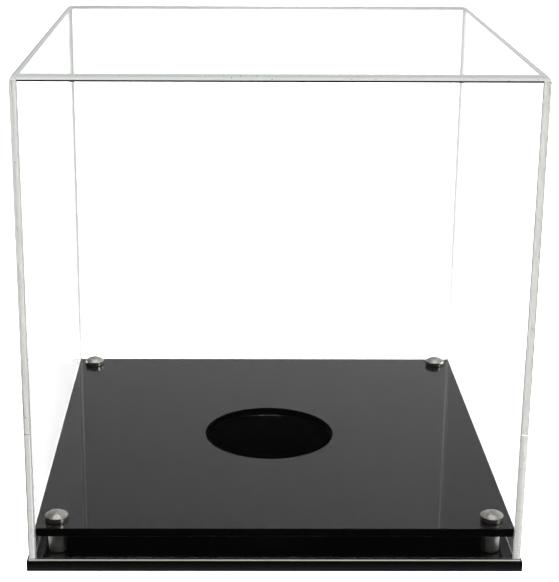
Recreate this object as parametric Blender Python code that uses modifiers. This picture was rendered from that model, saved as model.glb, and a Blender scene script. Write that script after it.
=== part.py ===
"""Table-top soccer ball display case.

A clear acrylic cover drops over a gloss black base. Four metal standoffs carry a second black plate above
the base, with a round seat hole in its middle. The cover is one sheet bent over the left side, the top and
the right side, with a flat panel cemented on its front edge and another on its back edge.
All lengths are in metres, with +Z up, +X to the right and the front at -Y. The origin lies on the
surface the case stands on, under its centre.
"""

import math

import bmesh
import bpy
from mathutils import Matrix

# Cover
cover_width = 0.2604
cover_depth = 0.2604
cover_height = 0.2587
sheet_thickness = 0.0030
bend_outer_radius = 0.0034
bend_segments = 8

# Plates
base_margin = 0.0012
base_thickness = 0.0056
platform_thickness = 0.0047
platform_clearance = 0.0004
plate_edge_break = 0.0003
edge_break_segments = 2

# Round seat hole in the platform
ball_diameter = 0.2193
ball_sink = 0.0069
seat_edge_break = 0.0005
seat_steps = 96

# Standoffs
standoff_inset = 0.0106
barrel_diameter = 0.0095
barrel_length = 0.0124
barrel_edge_break = 0.0003
barrel_steps = 36
cap_diameter = 0.0124
cap_side_height = 0.0029
cap_dome_height = 0.0021
cap_rim_radius = 0.0003
cap_edge_break = 0.0002
cap_steps = 40
dome_segments = 6
rim_segments = 3

# Threads, drawn smooth at their outer diameter
thread_diameter = 0.0050
thread_edge_break = 0.0004
thread_steps = 24
stud_depth_in_cap = 0.0030
stud_depth_in_barrel = 0.0052

# Base screws
screw_length = 0.0105
screw_head_diameter = 0.0092
screw_head_edge = 0.0003
screw_head_recess = 0.0002
socket_width = 0.0030
socket_depth = 0.0014

# Feet
foot_diameter = 0.0127
foot_height = 0.0016
foot_taper = 0.0008
foot_edge_break = 0.0003
foot_inset = 0.0300
foot_steps = 28

# Fits and cuts
rest_gap = 0.0003
cut_overrun = 0.0020
merge_distance = 0.000001
sharp_angle = math.radians(35)

# Heights of the stack, from the surface up
base_bottom = foot_height + rest_gap
base_top = base_bottom + base_thickness
barrel_bottom = base_top + rest_gap
barrel_top = barrel_bottom + barrel_length
platform_bottom = barrel_top + rest_gap
platform_top = platform_bottom + platform_thickness
cap_bottom = platform_top + rest_gap
cover_bottom = base_top + rest_gap

# Sizes that follow from the ones above
thread_radius = thread_diameter / 2
thread_hole_radius = thread_radius + rest_gap
screw_head_radius = screw_head_diameter / 2
base_width = cover_width + 2 * base_margin
base_depth = cover_depth + 2 * base_margin
wall_and_clearance = sheet_thickness + platform_clearance
platform_width = cover_width - 2 * wall_and_clearance
platform_depth = cover_depth - 2 * wall_and_clearance
standoff_x = platform_width / 2 - standoff_inset
standoff_y = platform_depth / 2 - standoff_inset
foot_x = base_width / 2 - foot_inset
foot_y = base_depth / 2 - foot_inset
ball_radius = ball_diameter / 2
seat_radius = math.sqrt(ball_radius**2 - (ball_radius - ball_sink) ** 2)

corners = {
    "front_left": (-1, -1),
    "front_right": (1, -1),
    "back_left": (-1, 1),
    "back_right": (1, 1),
}


def clear_scene():
    for obj in list(bpy.data.objects):
        bpy.data.objects.remove(obj, do_unlink=True)
    for collection in list(bpy.data.collections):
        bpy.data.collections.remove(collection)


def new_collection(name):
    collection = bpy.data.collections.new(name)
    bpy.context.scene.collection.children.link(collection)
    return collection


def finish_material(obj, colour, roughness, metallic=0.0, transmission=0.0):
    material = bpy.data.materials.new(obj.name + "_finish")
    material.use_nodes = True
    shader = material.node_tree.nodes["Principled BSDF"]
    shader.inputs["Base Color"].default_value = (*colour, 1.0)
    shader.inputs["Roughness"].default_value = roughness
    shader.inputs["Metallic"].default_value = metallic
    shader.inputs["Transmission Weight"].default_value = transmission
    material.diffuse_color = (*colour, 1.0)
    obj.data.materials.clear()
    obj.data.materials.append(material)


def clear_acrylic(obj):
    finish_material(obj, (0.96, 0.98, 0.96), 0.03, transmission=1.0)


def black_acrylic(obj):
    finish_material(obj, (0.008, 0.008, 0.009), 0.04)


def satin_nickel(obj):
    finish_material(obj, (0.62, 0.60, 0.57), 0.28, metallic=1.0)


def plated_steel(obj):
    finish_material(obj, (0.55, 0.56, 0.58), 0.35, metallic=1.0)


def soft_rubber(obj):
    finish_material(obj, (0.02, 0.02, 0.02), 0.70)


def box(name, collection, width, depth, height):
    """A box centred on the vertical axis, standing on its own origin."""
    mesh = bpy.data.meshes.new(name)
    shape = bmesh.new()
    bmesh.ops.create_cube(shape, size=1)
    stretch = Matrix.Diagonal((width, depth, height, 1))
    bmesh.ops.transform(shape, matrix=Matrix.Translation((0, 0, height / 2)) @ stretch, verts=shape.verts)
    shape.to_mesh(mesh)
    shape.free()
    obj = bpy.data.objects.new(name, mesh)
    collection.objects.link(obj)
    return obj


def turned(name, collection, profile, steps, closed=False):
    """A profile of (radius, height) points swept round the vertical axis."""
    mesh = bpy.data.meshes.new(name)
    points = [(radius, 0, height) for radius, height in profile]
    edges = [(i, i + 1) for i in range(len(points) - 1)]
    if closed:
        edges.append((len(points) - 1, 0))
    mesh.from_pydata(points, edges, [])
    obj = bpy.data.objects.new(name, mesh)
    collection.objects.link(obj)
    screw = obj.modifiers.new("Turn", "SCREW")
    screw.steps = steps
    screw.render_steps = steps
    screw.use_merge_vertices = True
    screw.merge_threshold = merge_distance
    settle(obj)
    return obj


def settle(obj):
    """Makes the modified shape the object's own mesh, welded and shaded by its edges."""
    graph = bpy.context.evaluated_depsgraph_get()
    mesh = bpy.data.meshes.new_from_object(obj.evaluated_get(graph))
    shape = bmesh.new()
    shape.from_mesh(mesh)
    bmesh.ops.remove_doubles(shape, verts=shape.verts, dist=merge_distance)
    bmesh.ops.recalc_face_normals(shape, faces=shape.faces)
    shape.to_mesh(mesh)
    shape.free()
    mesh.name = obj.name
    mesh.shade_smooth()
    mesh.set_sharp_from_angle(angle=sharp_angle)
    obj.modifiers.clear()
    obj.data = mesh


def copy_to(obj, name, place, collection):
    copy = bpy.data.objects.new(name, obj.data)
    copy.location = place
    collection.objects.link(copy)
    return copy


def cut(obj, cutter):
    cutter.hide_render = True
    cutter.display_type = "WIRE"
    boolean = obj.modifiers.new("Cut " + cutter.name, "BOOLEAN")
    boolean.operation = "DIFFERENCE"
    boolean.solver = "EXACT"
    boolean.object = cutter


def at_corners(x, y, height):
    """The place of each corner piece, by the corner's name."""
    return {corner: (side * x, front * y, height) for corner, (side, front) in corners.items()}


def arc(centre_radius, centre_height, radius, start, end, segments):
    """Points of a profile's round stretch, with its angles measured up from the outward direction."""
    angles = [start + (end - start) * i / segments for i in range(segments + 1)]
    return [(centre_radius + radius * math.cos(a), centre_height + radius * math.sin(a)) for a in angles]


def bent_cover_sheet(parts):
    """Left side, top and right side as one sheet: an open channel, rounded at its two bends, then thickened."""
    shell_depth = cover_depth - 2 * (sheet_thickness + rest_gap)
    shell = box("cover_shell", parts, cover_width, shell_depth, cover_height)
    shape = bmesh.new()
    shape.from_mesh(shell.data)
    bmesh.ops.recalc_face_normals(shape, faces=shape.faces)
    open_faces = [face for face in shape.faces if abs(face.normal.y) > 0.5 or face.normal.z < -0.5]
    bmesh.ops.delete(shape, geom=open_faces, context="FACES")
    shape.to_mesh(shell.data)
    shape.free()
    bend = shell.modifiers.new("Bend", "BEVEL")
    bend.width = bend_outer_radius
    bend.segments = bend_segments
    bend.limit_method = "ANGLE"
    wall = shell.modifiers.new("Sheet", "SOLIDIFY")
    wall.thickness = sheet_thickness
    wall.offset = -1
    wall.use_even_offset = True
    settle(shell)
    clear_acrylic(shell)
    return shell


def flat_cover_panel(parts, name, side):
    """A flat panel whose top corners are trimmed to the bent sheet's outline."""
    panel = box(name, parts, cover_width, sheet_thickness, cover_height)
    weights = panel.data.attributes.new("bevel_weight_edge", "FLOAT", "EDGE")
    for edge in panel.data.edges:
        first, second = (panel.data.vertices[i].co for i in edge.vertices)
        across_the_sheet = abs(first.y - second.y) > sheet_thickness / 2
        at_the_top = min(first.z, second.z) > cover_height / 2
        weights.data[edge.index].value = 1 if across_the_sheet and at_the_top else 0
    corner = panel.modifiers.new("Trimmed corners", "BEVEL")
    corner.width = bend_outer_radius
    corner.segments = bend_segments
    corner.limit_method = "WEIGHT"
    settle(panel)
    clear_acrylic(panel)
    panel.location.y = side * (cover_depth - sheet_thickness) / 2
    return panel


def cover(parts):
    lift = bpy.data.objects.new("cover_lift", None)
    lift.empty_display_size = sheet_thickness
    lift.location.z = cover_bottom
    parts.objects.link(lift)
    for piece in (
        bent_cover_sheet(parts),
        flat_cover_panel(parts, "cover_front_panel", -1),
        flat_cover_panel(parts, "cover_back_panel", 1),
    ):
        piece.parent = lift


def plate(parts, name, width, depth, thickness, bottom):
    """A sheet plate with lightly broken edges."""
    obj = box(name, parts, width, depth, thickness)
    edge = obj.modifiers.new("Edge break", "BEVEL")
    edge.width = plate_edge_break
    edge.segments = edge_break_segments
    settle(obj)
    obj.location.z = bottom
    return obj


def base_plate(parts, cutters):
    """The plate the cover stands on, countersunk from below for the four base screws."""
    obj = plate(parts, "base_plate", base_width, base_depth, base_thickness, base_bottom)
    head_radius = screw_head_radius + rest_gap
    seat_offset = rest_gap * (math.sqrt(2) - 1)
    land_top = screw_head_recess + screw_head_edge + seat_offset
    cone_top = land_top + head_radius - thread_hole_radius
    profile = [
        (0, base_thickness + cut_overrun),
        (thread_hole_radius, base_thickness + cut_overrun),
        (thread_hole_radius, cone_top),
        (head_radius, land_top),
        (head_radius, -cut_overrun),
        (0, -cut_overrun),
    ]
    hole = turned("screw_hole", cutters, profile, thread_steps)
    for corner, place in at_corners(standoff_x, standoff_y, base_bottom).items():
        cut(obj, copy_to(hole, "screw_hole_" + corner, place, cutters))
    bpy.data.objects.remove(hole)
    black_acrylic(obj)


def display_platform(parts, cutters):
    """The raised plate, with a stud hole at each corner and a round seat hole in the middle."""
    obj = plate(parts, "display_platform", platform_width, platform_depth, platform_thickness, platform_bottom)
    profile = [
        (0, platform_thickness + cut_overrun),
        (thread_hole_radius, platform_thickness + cut_overrun),
        (thread_hole_radius, -cut_overrun),
        (0, -cut_overrun),
    ]
    hole = turned("stud_hole", cutters, profile, thread_steps)
    for corner, place in at_corners(standoff_x, standoff_y, platform_bottom).items():
        cut(obj, copy_to(hole, "stud_hole_" + corner, place, cutters))
    bpy.data.objects.remove(hole)
    flare = seat_radius + seat_edge_break + cut_overrun
    profile = [
        (0, platform_thickness + cut_overrun),
        (flare, platform_thickness + cut_overrun),
        (seat_radius, platform_thickness - seat_edge_break),
        (seat_radius, seat_edge_break),
        (flare, -cut_overrun),
        (0, -cut_overrun),
    ]
    seat = turned("ball_seat", cutters, profile, seat_steps)
    seat.location.z = platform_bottom
    cut(obj, seat)
    black_acrylic(obj)


def thread_rod_profile(bottom, top):
    """A plain rod at the thread's outer diameter, with chamfered ends."""
    inner = thread_radius - thread_edge_break
    return [
        (0, top),
        (inner, top),
        (thread_radius, top - thread_edge_break),
        (thread_radius, bottom + thread_edge_break),
        (inner, bottom),
        (0, bottom),
    ]


def standoff_caps(parts):
    """Domed caps with a blind threaded hole below, which take the top of the studs."""
    radius = cap_diameter / 2
    rim = cap_side_height - cap_rim_radius
    dome_edge = radius - cap_rim_radius
    sphere = (dome_edge**2 + cap_dome_height**2) / (2 * cap_dome_height)
    sphere_centre = cap_side_height + cap_dome_height - sphere
    dome_angle = math.asin(dome_edge / sphere)
    dome = arc(0, sphere_centre, sphere, math.pi / 2, math.pi / 2 - dome_angle, dome_segments)
    rounding = arc(dome_edge, rim, cap_rim_radius, math.pi / 2, 0, rim_segments)
    bore_top = stud_depth_in_cap + rest_gap
    profile = dome + rounding[1:] + [
        (radius, cap_edge_break),
        (radius - cap_edge_break, 0),
        (thread_hole_radius, 0),
        (thread_hole_radius, bore_top),
        (0, bore_top),
    ]
    cap = turned("standoff_cap", parts, profile, cap_steps)
    satin_nickel(cap)
    for corner, place in at_corners(standoff_x, standoff_y, cap_bottom).items():
        copy_to(cap, "standoff_cap_" + corner, place, parts)
    bpy.data.objects.remove(cap)


def standoff_barrels(parts):
    """Spacers between the plates, threaded right through."""
    radius = barrel_diameter / 2
    profile = [
        (radius - barrel_edge_break, barrel_length),
        (radius, barrel_length - barrel_edge_break),
        (radius, barrel_edge_break),
        (radius - barrel_edge_break, 0),
        (thread_hole_radius, 0),
        (thread_hole_radius, barrel_length),
    ]
    barrel = turned("standoff_barrel", parts, profile, barrel_steps, closed=True)
    satin_nickel(barrel)
    for corner, place in at_corners(standoff_x, standoff_y, barrel_bottom).items():
        copy_to(barrel, "standoff_barrel_" + corner, place, parts)
    bpy.data.objects.remove(barrel)


def standoff_studs(parts):
    """Threaded studs that hold each cap down through the platform into its barrel."""
    bottom = barrel_top - stud_depth_in_barrel
    length = cap_bottom + stud_depth_in_cap - bottom
    stud = turned("standoff_stud", parts, thread_rod_profile(0, length), thread_steps)
    plated_steel(stud)
    for corner, place in at_corners(standoff_x, standoff_y, bottom).items():
        copy_to(stud, "standoff_stud_" + corner, place, parts)
    bpy.data.objects.remove(stud)


def base_screws(parts, cutters):
    """Countersunk screws that come up through the base into the barrels, with a hexagon socket."""
    cone_top = screw_head_edge + screw_head_radius - thread_radius
    tip = thread_rod_profile(0, screw_length)[:3]
    profile = tip + [
        (thread_radius, cone_top),
        (screw_head_radius, screw_head_edge),
        (screw_head_radius, 0),
        (0, 0),
    ]
    screw = turned("base_screw", parts, profile, thread_steps)
    socket_mesh = bpy.data.meshes.new("screw_socket")
    shape = bmesh.new()
    corner_radius = socket_width / math.sqrt(3)
    socket_height = socket_depth + cut_overrun
    bmesh.ops.create_cone(
        shape, cap_ends=True, segments=6, radius1=corner_radius, radius2=corner_radius, depth=socket_height
    )
    bmesh.ops.translate(shape, verts=shape.verts, vec=(0, 0, socket_depth - socket_height / 2))
    shape.to_mesh(socket_mesh)
    shape.free()
    socket = bpy.data.objects.new("screw_socket", socket_mesh)
    cutters.objects.link(socket)
    cut(screw, socket)
    settle(screw)
    bpy.data.objects.remove(socket)
    plated_steel(screw)
    bottom = base_bottom + screw_head_recess
    for corner, place in at_corners(standoff_x, standoff_y, bottom).items():
        copy_to(screw, "base_screw_" + corner, place, parts)
    bpy.data.objects.remove(screw)


def feet(parts):
    """Low round pads under the base, set in from its corners and clear of the screws."""
    radius = foot_diameter / 2
    profile = [
        (0, foot_height),
        (radius, foot_height),
        (radius - foot_taper, foot_edge_break),
        (radius - foot_taper - foot_edge_break, 0),
        (0, 0),
    ]
    foot = turned("foot", parts, profile, foot_steps)
    soft_rubber(foot)
    for corner, place in at_corners(foot_x, foot_y, 0).items():
        copy_to(foot, "foot_" + corner, place, parts)
    bpy.data.objects.remove(foot)


def main():
    clear_scene()
    parts = new_collection("soccer_ball_display_case")
    cutters = new_collection("cutters")
    cover(parts)
    base_plate(parts, cutters)
    display_platform(parts, cutters)
    standoff_caps(parts)
    standoff_barrels(parts)
    standoff_studs(parts)
    base_screws(parts, cutters)
    feet(parts)


main()
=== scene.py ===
import math

import bmesh
import bpy
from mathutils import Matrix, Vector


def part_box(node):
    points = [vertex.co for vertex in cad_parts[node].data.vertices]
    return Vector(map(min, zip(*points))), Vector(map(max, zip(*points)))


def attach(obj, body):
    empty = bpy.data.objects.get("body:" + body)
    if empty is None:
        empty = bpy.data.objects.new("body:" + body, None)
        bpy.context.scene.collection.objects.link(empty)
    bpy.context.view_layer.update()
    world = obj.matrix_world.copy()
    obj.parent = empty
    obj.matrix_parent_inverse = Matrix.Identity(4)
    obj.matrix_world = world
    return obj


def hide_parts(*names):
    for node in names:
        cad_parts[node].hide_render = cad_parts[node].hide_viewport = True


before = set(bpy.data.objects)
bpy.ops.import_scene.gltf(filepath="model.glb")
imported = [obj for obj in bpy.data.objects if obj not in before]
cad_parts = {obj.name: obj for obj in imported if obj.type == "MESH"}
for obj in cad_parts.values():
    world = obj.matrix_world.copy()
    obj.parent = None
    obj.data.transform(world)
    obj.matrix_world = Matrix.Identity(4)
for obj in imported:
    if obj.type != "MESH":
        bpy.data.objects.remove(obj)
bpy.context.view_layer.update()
scene = bpy.context.scene

mm = 0.001
shellLow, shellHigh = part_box("cover_shell")
capLow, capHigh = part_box("standoff_cap_front_right")
standoffX = (capLow.x + capHigh.x) / 2
standoffY = -(capLow.y + capHigh.y) / 2
weld = {"closerThan": 0.002 * mm, "thinnerThan": 0.001 * mm}
groupNodes = {"ShaderNodeTree": "ShaderNodeGroup", "GeometryNodeTree": "GeometryNodeGroup"}


def feed(tree, value, socket):
    # a socket gets a link, anything else is typed into its field
    if isinstance(value, bpy.types.NodeSocket):
        tree.links.new(value, socket)
    elif socket.type == "RGBA":
        socket.default_value = (*value, 1)[:4]
    else:
        socket.default_value = value


def setInputs(tree, node, values):
    for name, value in values.items():
        feed(tree, value, node.inputs[name])


def addNode(tree, kind, values=None, **settings):
    node = tree.nodes.new(kind)
    for name, value in settings.items():
        setattr(node, name, value)
    setInputs(tree, node, values or {})
    return node


def output(tree, kind, values=None, **settings):
    return addNode(tree, kind, values, **settings).outputs[0]


def maths(tree, operation, *values, clamp=False):
    return output(tree, "ShaderNodeMath", dict(enumerate(values)), operation=operation, use_clamp=clamp)


def plus(tree, first, second, clamp=False):
    return maths(tree, "ADD", first, second, clamp=clamp)


def minus(tree, first, second, clamp=False):
    return maths(tree, "SUBTRACT", first, second, clamp=clamp)


def times(tree, first, second, clamp=False):
    return maths(tree, "MULTIPLY", first, second, clamp=clamp)


def over(tree, first, second, clamp=False):
    return maths(tree, "DIVIDE", first, second, clamp=clamp)


def split(tree, vector):
    return addNode(tree, "ShaderNodeSeparateXYZ", {0: vector}).outputs


def combine(tree, x, y, z):
    return output(tree, "ShaderNodeCombineXYZ", {0: x, 1: y, 2: z})


def ramp(tree, value, low, high, start=0.0, end=1.0):
    values = {"Value": value, "From Min": low, "From Max": high, "To Min": start, "To Max": end}
    return output(tree, "ShaderNodeMapRange", values)


def noise(tree, place, scale, detail=2.0, distortion=0.0):
    values = {"Vector": place, "Scale": scale, "Detail": detail, "Distortion": distortion}
    return output(tree, "ShaderNodeTexNoise", values)


def noiseAlong(tree, along, scale, detail):
    values = {"W": along, "Scale": scale, "Detail": detail}
    return output(tree, "ShaderNodeTexNoise", values, noise_dimensions="1D")


def newGroup(name, kind, inputs, outputs):
    # a number is an input's default, and a word is the type of a socket that has none
    tree = bpy.data.node_groups.new(name, kind)
    for direction, sockets in (("INPUT", inputs), ("OUTPUT", outputs)):
        for label, given in sockets.items():
            word = given if isinstance(given, str) else {float: "Float", int: "Int"}[type(given)]
            socket = tree.interface.new_socket(label, in_out=direction, socket_type="NodeSocket" + word)
            if word != given:
                socket.default_value = given
    return tree, tree.nodes.new("NodeGroupInput").outputs, tree.nodes.new("NodeGroupOutput").inputs


def useGroup(tree, group, values):
    node = tree.nodes.new(groupNodes[tree.bl_idname])
    node.node_tree = group
    setInputs(tree, node, values)
    return node.outputs


def linkObject(name, data):
    obj = bpy.data.objects.new(name, data)
    scene.collection.objects.link(obj)
    return obj


def applied(obj):
    # the object's evaluated shape becomes its plain mesh, and its modifier goes
    bpy.context.view_layer.update()
    shaped = obj.evaluated_get(bpy.context.evaluated_depsgraph_get())
    mesh = bpy.data.meshes.new_from_object(shaped)
    obj.modifiers.clear()
    obj.data = mesh
    mesh.name = obj.name
    return mesh


def runTree(name, tree, values, sharpAngle=35):
    # evaluates a Geometry Nodes tree and keeps the result as a plain mesh
    obj = linkObject(name, bpy.data.meshes.new(name))
    modifier = obj.modifiers.new(tree.name, "NODES")
    modifier.node_group = tree
    for item in tree.interface.items_tree:
        if item.item_type == "SOCKET" and item.in_out == "INPUT":
            modifier[item.identifier] = values[item.name]
    mesh = applied(obj)
    dropUnusedFinishes(mesh)
    tidyMesh(mesh, sharpAngle)
    steadyNormals(obj)
    return obj


def dropUnusedFinishes(mesh):
    used = sorted({face.material_index for face in mesh.polygons})
    kept = [mesh.materials[index] for index in used]
    numbers = [used.index(face.material_index) for face in mesh.polygons]
    mesh.materials.clear()
    for material in kept:
        mesh.materials.append(material)
    mesh.polygons.foreach_set("material_index", numbers)


def tidyMesh(mesh, sharpAngle):
    shape = bmesh.new()
    shape.from_mesh(mesh)
    bmesh.ops.remove_doubles(shape, verts=shape.verts, dist=weld["closerThan"])
    bmesh.ops.dissolve_degenerate(shape, edges=shape.edges, dist=weld["thinnerThan"])
    bmesh.ops.recalc_face_normals(shape, faces=shape.faces)
    shape.to_mesh(mesh)
    shape.free()
    mesh.shade_smooth()
    mesh.set_sharp_from_angle(angle=math.radians(sharpAngle))


def steadyNormals(obj):
    # large flat faces keep their own normal and the bends beside them take up the turn
    modifier = obj.modifiers.new("steadyNormals", "WEIGHTED_NORMAL")
    modifier.mode = "FACE_AREA"
    modifier.weight = 100
    modifier.keep_sharp = True
    applied(obj)


def smoothCopy(nodeName, pieceName, sharpAngle):
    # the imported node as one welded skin, so that its round faces shade smoothly
    obj = linkObject(pieceName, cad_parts[nodeName].data.copy())
    obj.data.name = pieceName
    if obj.data.attributes.get("custom_normal"):
        obj.data.attributes.remove(obj.data.attributes["custom_normal"])
    tidyMesh(obj.data, sharpAngle)
    obj.data.materials.clear()
    steadyNormals(obj)
    return obj


def fit(obj, body, slot, *nodeNames):
    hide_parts(*nodeNames)
    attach(obj, body)


marks = {
    "wipeDirections": (24, -57),  # degrees
    "scratchThreshold": 0.78,
    "scratchSpread": 0.2,
    "scratchContrast": 9.0,
    "emptyCells": 0.45,
    "fleckRim": 0.15,
    "filmDistortion": 0.6,
    "filmBetween": (0.42, 0.68),
    "sawWander": 0.7,
    "turningBands": 0.11,
}


def newPattern(name, inputs, *outputs):
    return newGroup(name, "ShaderNodeTree", {"Vector": "Vector", **inputs}, dict.fromkeys(outputs, "Float"))


def wipeScratches():
    # faint straight streaks in two directions, as a dry cloth leaves them
    tree, given, out = newPattern("wipeScratches", {"Length": 0.02, "Width": 0.0001, "Amount": 0.3}, "Mask")
    along, across = over(tree, 1.0, given["Length"]), over(tree, 1.0, given["Width"])
    stretch = combine(tree, along, across, across)
    threshold = minus(tree, marks["scratchThreshold"], times(tree, given["Amount"], marks["scratchSpread"]))
    masks = []
    for turn in marks["wipeDirections"]:
        values = {"Vector": given["Vector"], "Angle": math.radians(turn)}
        turned = output(tree, "ShaderNodeVectorRotate", values, rotation_type="Z_AXIS")
        scaled = output(tree, "ShaderNodeVectorMath", {0: turned, 1: stretch}, operation="MULTIPLY")
        streaks = minus(tree, noise(tree, scaled, 1.0), threshold)
        masks.append(times(tree, streaks, marks["scratchContrast"], clamp=True))
    feed(tree, maths(tree, "MAXIMUM", *masks), out["Mask"])
    return tree


def dustFlecks():
    # one small round fleck in some cells of a grid
    tree, given, out = newPattern("dustFlecks", {"Spacing": 0.006, "Size": 0.0002}, "Mask")
    scale = over(tree, 1.0, given["Spacing"])
    cells = addNode(tree, "ShaderNodeTexVoronoi", {"Vector": given["Vector"], "Scale": scale}).outputs
    pick = output(tree, "ShaderNodeSeparateColor", {0: cells["Color"]})
    reach = times(tree, cells["Distance"], given["Spacing"])
    radius = times(tree, given["Size"], minus(tree, pick, marks["emptyCells"]))
    rim = times(tree, given["Size"], marks["fleckRim"])
    feed(tree, over(tree, minus(tree, radius, reach), rim, clamp=True), out["Mask"])
    return tree


def handledFilm():
    # broad, soft patches where a surface was last wiped or touched
    tree, given, out = newPattern("handledFilm", {"Patch": 0.05}, "Mask")
    scale = over(tree, 1.0, given["Patch"])
    broad = noise(tree, given["Vector"], scale, 3.0, marks["filmDistortion"])
    feed(tree, ramp(tree, broad, *marks["filmBetween"]), out["Mask"])
    return tree


def sawMarks():
    # upright tool marks on a cut edge, by distance along it
    tree, given, out = newPattern("sawMarks", {"Pitch": 0.0004}, "Height")
    x, y, z = split(tree, given["Vector"])
    steps = over(tree, plus(tree, x, y), given["Pitch"])
    feed(tree, noiseAlong(tree, steps, marks["sawWander"], 4.0), out["Height"])
    return tree


def latheMarks():
    # fine rings round an upright axis, on the face and on the side alike
    inputs = {"Axis X": 0.1, "Axis Y": 0.1, "Pitch": 0.0001}
    tree, given, out = newPattern("latheMarks", inputs, "Height", "Mask")
    x, y, z = split(tree, given["Vector"])
    x = minus(tree, maths(tree, "ABSOLUTE", x), given["Axis X"])
    y = minus(tree, maths(tree, "ABSOLUTE", y), given["Axis Y"])
    radius = maths(tree, "SQRT", plus(tree, times(tree, x, x), times(tree, y, y)))
    along = over(tree, minus(tree, radius, z), given["Pitch"])
    feed(tree, noiseAlong(tree, along, 1.0, 3.0), out["Height"])
    feed(tree, noiseAlong(tree, along, marks["turningBands"], 2.0), out["Mask"])
    return tree


def plateArris():
    # 1 on the broken edges of a flat plate, falling to 0 within Reach
    inputs = {"Half Width": 0.13, "Half Depth": 0.13, "Low": 0.0, "High": 0.01, "Reach": 0.0006}
    tree, given, out = newPattern("plateArris", inputs, "Mask")
    x, y, z = split(tree, given["Vector"])
    sideways = minus(tree, given["Half Width"], maths(tree, "ABSOLUTE", x))
    inwards = minus(tree, given["Half Depth"], maths(tree, "ABSOLUTE", y))
    upright = maths(tree, "MINIMUM", minus(tree, given["High"], z), minus(tree, z, given["Low"]))
    rim = maths(tree, "MAXIMUM", maths(tree, "MINIMUM", sideways, inwards), upright)
    nearest = maths(tree, "MINIMUM", rim, maths(tree, "MAXIMUM", sideways, inwards))
    feed(tree, minus(tree, 1.0, over(tree, nearest, given["Reach"]), clamp=True), out["Mask"])
    return tree


patterns = {
    "scratches": wipeScratches(),
    "dust": dustFlecks(),
    "film": handledFilm(),
    "saw": sawMarks(),
    "lathe": latheMarks(),
    "arris": plateArris(),
}
print("shared patterns ready")


def usePattern(tree, name, place, values):
    return useGroup(tree, patterns[name], {"Vector": place, **values})[0]


def wear(tree, place, piece):
    # the masks of a piece's scratches, film and dust
    return [usePattern(tree, name, place, piece[name]) for name in ("scratches", "film", "dust")]


def newFinish(name, constants):
    material = bpy.data.materials.new(name)
    material.use_nodes = True
    tree = material.node_tree
    shader = tree.nodes["Principled BSDF"]
    setInputs(tree, shader, constants)
    place = tree.nodes.new("ShaderNodeTexCoord").outputs["Object"]
    return material, tree, shader, place


def mixValue(tree, factor, low, high):
    return output(tree, "ShaderNodeMix", {0: factor, 2: low, 3: high}, data_type="FLOAT")


def mixColour(tree, factor, first, second):
    return addNode(tree, "ShaderNodeMix", {0: factor, 6: first, 7: second}, data_type="RGBA").outputs[2]


def weighed(tree, level, *parts):
    # a level with each mask added at its own weight, never over 1
    for mask, weight in parts:
        level = plus(tree, level, times(tree, mask, weight), clamp=True)
    return level


def shaded(colour, factor):
    return tuple(value * factor for value in colour)


def bump(tree, shader, height, relief):
    # relief is (strength, depth)
    values = {"Height": height, "Strength": relief[0], "Distance": relief[1]}
    feed(tree, output(tree, "ShaderNodeBump", values), shader.inputs["Normal"])


def dress(tree, shader, colour, rough, height, relief):
    setInputs(tree, shader, {"Base Color": colour, "Roughness": rough})
    bump(tree, shader, height, relief)


acrylic = {
    "indexOfRefraction": 1.49,
    "sheetColour": (0.987, 0.991, 0.987),
    "scratches": {"Length": 0.03, "Width": 0.00012, "Amount": 0.2},
    "scratchRoughness": 0.12,
    "film": {"Patch": 0.07},
    "filmRoughness": 0.004,
    "dust": {"Spacing": 0.012, "Size": 0.00016},
    "dustAmount": 0.5,
    "dustColour": (0.78, 0.78, 0.76),
    "wavesPerMetre": 22.0,
    "relief": (1.0, 0.004 * mm),
}


def glass(clearness):
    return {"IOR": acrylic["indexOfRefraction"], "Transmission Weight": clearness}


sheetGlass = {**glass(1.0), "Base Color": acrylic["sheetColour"]}


def clearSurface(tree, shader, place):
    # wiping streaks, a thin film and a few specks on an otherwise clear face
    scratches, film, dust = wear(tree, place, acrylic)
    worn = weighed(tree, 0.0, (scratches, acrylic["scratchRoughness"]), (film, acrylic["filmRoughness"]))
    bump(tree, shader, noise(tree, place, acrylic["wavesPerMetre"], 1.0), acrylic["relief"])
    return worn, times(tree, dust, acrylic["dustAmount"])


def clearAcrylic():
    material, tree, shader, place = newFinish("clearAcrylic", glass(1.0))
    worn, specks = clearSurface(tree, shader, place)
    colour = mixColour(tree, specks, acrylic["sheetColour"], acrylic["dustColour"])
    setInputs(tree, shader, {"Roughness": worn, "Base Color": colour})
    return material


bends = {
    "colour": (0.92, 0.93, 0.92),
    "dulling": 0.93,
    "clearness": 0.15,
    "patchesPerMetre": 120.0,
    "roughness": (0.04, 0.12),
}


def hazedBend():
    # the two corners were softened over a hot wire and stayed a little hazed
    material, tree, shader, place = newFinish("hazedBend", glass(bends["clearness"]))
    worn, specks = clearSurface(tree, shader, place)
    patchy = noise(tree, place, bends["patchesPerMetre"], 3.0)
    colour = mixColour(tree, patchy, bends["colour"], shaded(bends["colour"], bends["dulling"]))
    colour = mixColour(tree, specks, colour, acrylic["dustColour"])
    rough = plus(tree, worn, mixValue(tree, patchy, *bends["roughness"]))
    setInputs(tree, shader, {"Base Color": colour, "Roughness": rough})
    return material


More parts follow.
